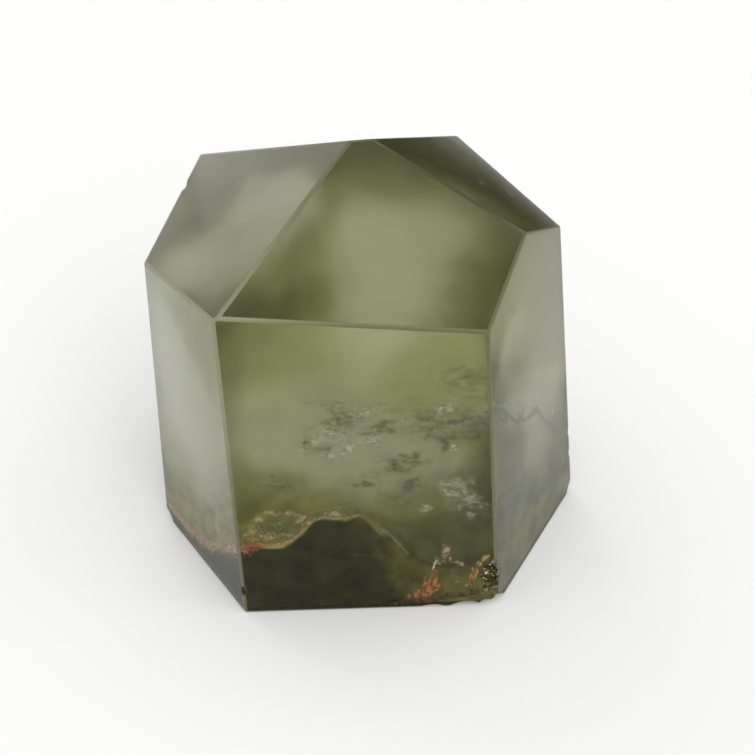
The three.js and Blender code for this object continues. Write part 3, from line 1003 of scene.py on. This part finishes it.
POCKET_FILMS = {  # colour, thickness and places
    "pocket_silt": ((0.35, 0.36, 0.21, 1), 0.75, POCKET_SILT),
    "pocket_fringe": ((0.70, 0.51, 0.28, 1), 0.95, POCKET_FRINGE),
}

for name, (colour, thickness, places) in POCKET_FILMS.items():
    film = patch_material(name, colour, thickness, POCKET_GRAIN)
    join_pieces(name, [facet_patch("front", *place) for place in places], film)


# Rust at the foot. Two bright orange fans of rust and a dark red stain lie in cracks that run up from the
# sawn base at the right end of the front facet. A thin white streak among them is a painted glint.
FOOT_DEPTH = 0.3
ORANGE_FAN = [  # place across, height, how tall
    (2.1, 0.9, 0.3), (2.7, 0.95, 1.0), (3.4, 0.95, 2.2), (4.2, 1.1, 3.4), (4.7, 1.4, 3.0), (5.1, 1.8, 1.2),
    (5.4, 2.0, 0.3),
]
GOLD_FAN = [
    (7.3, 1.7, 0.6), (7.7, 1.7, 2.2), (8.1, 1.8, 3.4), (8.5, 3.2, 2.4), (8.8, 5.0, 0.8), (9.4, 5.5, 0.4),
]
RED_STAIN = [(0.6, 0.3, 0.4), (3.0, 0.3, 0.9), (6.0, 0.5, 1.1), (8.5, 0.6, 1.5), (9.6, 1.1, 1.1)]
# A thin white streak: a painted glint.
PAINTED_GLINT = [(4.30, 4.2, 0.1), (4.38, 4.3, 0.9), (4.52, 4.5, 1.0), (4.62, 5.1, 0.3)]
FOOT_FILMS = {  # places, how much of its foot and of its top is torn, the two colours it is mottled with
    "orange_fan": (ORANGE_FAN, 0.15, 0.45, (0.74, 0.35, 0.13, 1), (0.24, 0.09, 0.03, 1)),
    "gold_fan": (GOLD_FAN, 0.2, 0.4, (0.80, 0.50, 0.20, 1), (0.26, 0.12, 0.035, 1)),
    "red_stain": (RED_STAIN, 0.1, 0.8, (0.24, 0.075, 0.028, 1), (0.07, 0.038, 0.014, 1)),
    # A painted glint: a thin white streak.
    "painted_glint": (PAINTED_GLINT, 0.1, 0.1, (0.92, 0.90, 0.80, 1), (0.80, 0.76, 0.62, 1)),
}
FOOT_TEAR = 2.2
FOOT_STREAKS = (2600.0, 0.42, 0.60, (1, 1, 0.35))

for name, (outline, foot, top, one, other) in FOOT_FILMS.items():
    film, tree, shader = new_inclusion(name)
    tint = mix_colour(tree, mottled(tree, *FOOT_STREAKS), one, other)
    feed(shader, "Base Color", tint)
    feed(shader, "Alpha", use_group(tree, frayed_band, Foot=foot, Top=top, Tear=FOOT_TEAR))
    finish_strip(strip(name, (0, 0, 1), facet_steps("front", outline, FOOT_DEPTH)), film)


# Crust. A dark knobbly lump of chlorite with flecks of gold and white sits in the pits at the foot of the
# front right edge.
CRUST_MIDDLE = Vector((9.7, -15.42, 3.4))
CRUST_SIZE = (1.10, 0.55, 2.05)
CRUST_DETAIL = 6
CRUST_RELIEF = ((1.3, 0.9), (0.45, 0.45))
CRUST_SHRINK = 0.6  # the share of the noise that pushes in
CRUST_COVER = 0.08
CRUST_GRAIN = 1500.0
GOLD_FLECKS = (2300.0, 0.55, 0.60)
WHITE_FLECKS = (2600.0, 0.61, 0.65)
CRUST_DARK = (0.010, 0.012, 0.004, 1)
CRUST_OLIVE = (0.065, 0.060, 0.022, 1)
CRUST_GOLD = (0.62, 0.42, 0.14, 1)
CRUST_WHITE = (0.85, 0.84, 0.72, 1)

bpy.ops.object.select_all(action="DESELECT")
bpy.ops.mesh.primitive_ico_sphere_add(subdivisions=CRUST_DETAIL, radius=MM, location=CRUST_MIDDLE * MM,
                                      scale=CRUST_SIZE)
crust = bpy.context.object
crust.name = "dark_crust"
bpy.ops.object.transform_apply(location=True, scale=True)
for size, strength in CRUST_RELIEF:
    roughen(crust, size, strength, CRUST_SHRINK)
bpy.ops.object.mode_set(mode="EDIT")
grind(SIDE_FACETS, CRUST_COVER)
bpy.ops.mesh.select_all(action="SELECT")
bpy.ops.mesh.normals_make_consistent(inside=False)
bpy.ops.object.mode_set(mode="OBJECT")
bpy.ops.object.shade_smooth()

crust_rock, tree, shader = new_inclusion("crust")
tint = mix_colour(tree, mottled(tree, CRUST_GRAIN), CRUST_DARK, CRUST_OLIVE)
tint = mix_colour(tree, mottled(tree, *GOLD_FLECKS), tint, CRUST_GOLD)
tint = mix_colour(tree, mottled(tree, *WHITE_FLECKS), tint, CRUST_WHITE)
feed(shader, "Base Color", tint)
crust.data.materials.append(crust_rock)
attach(crust, "root")


# Specks. Single grains of dark silt and single pale bubbles. The quartz closed round them as it grew, so
# they are scattered just under its facets.
SPECKS = [("dark_specks", 34, (0.02, 0.022, 0.008, 1)), ("pale_specks", 30, (0.50, 0.52, 0.36, 1))]
SPECK_FIELDS = [  # facet, from and to across, from and to up it or back
    ("front", (-12, 9), (8, 28)), ("left", (-19, -15), (4, 27)), ("right", (9, 18), (6, 27)),
    ("back", (-9, 12), (6, 28)),
]
SPECK_SEED = 11
SPECK_DEPTH = (0.4, 1.6)
SPECK_COVER = 0.3
SPECK_RADIUS = (0.04, 0.10)
SPECK_FLAT = 0.7
SPECK_TALL = (0.6, 1.4)
SPECK_RELIEF = (0.1, 0.06)
SPECK_DETAIL = 2
SPECK_GRAIN = 900.0
SPECK_DIM = 0.5


def enclosed(place, cover):
    """Whether a place lies inside the stone, under at least this much quartz."""
    planes = [facet_plane(name, cover) for name in [*SIDE_FACETS, *TOP_FACETS]]
    return all((place * MM - point).dot(normal) < 0 for point, normal in planes)


chance = random.Random(SPECK_SEED)
for name, amount, colour in SPECKS:
    film, tree, shader = new_inclusion(name)
    tint = mix_colour(tree, mottled(tree, SPECK_GRAIN), colour, dimmed(colour, SPECK_DIM))
    feed(shader, "Base Color", tint)
    grains = []
    for number in range(amount):
        facet, span, rise = SPECK_FIELDS[number % len(SPECK_FIELDS)]
        place = None
        while place is None or not enclosed(place, SPECK_COVER):
            place = on_facet(facet, chance.uniform(*span), chance.uniform(*rise),
                             chance.uniform(*SPECK_DEPTH))
        bpy.ops.object.select_all(action="DESELECT")
        bpy.ops.mesh.primitive_ico_sphere_add(subdivisions=SPECK_DETAIL, location=place * MM,
                                              radius=chance.uniform(*SPECK_RADIUS) * MM,
                                              scale=(1, SPECK_FLAT, chance.uniform(*SPECK_TALL)))
        grain = bpy.context.object
        bpy.ops.object.transform_apply(location=True, scale=True)
        roughen(grain, *SPECK_RELIEF)
        grains.append(grain)
    join_pieces(name, grains, film)


size = {"cad": [list(corner) for corner in cad_box], "visual": [list(corner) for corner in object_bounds()]}
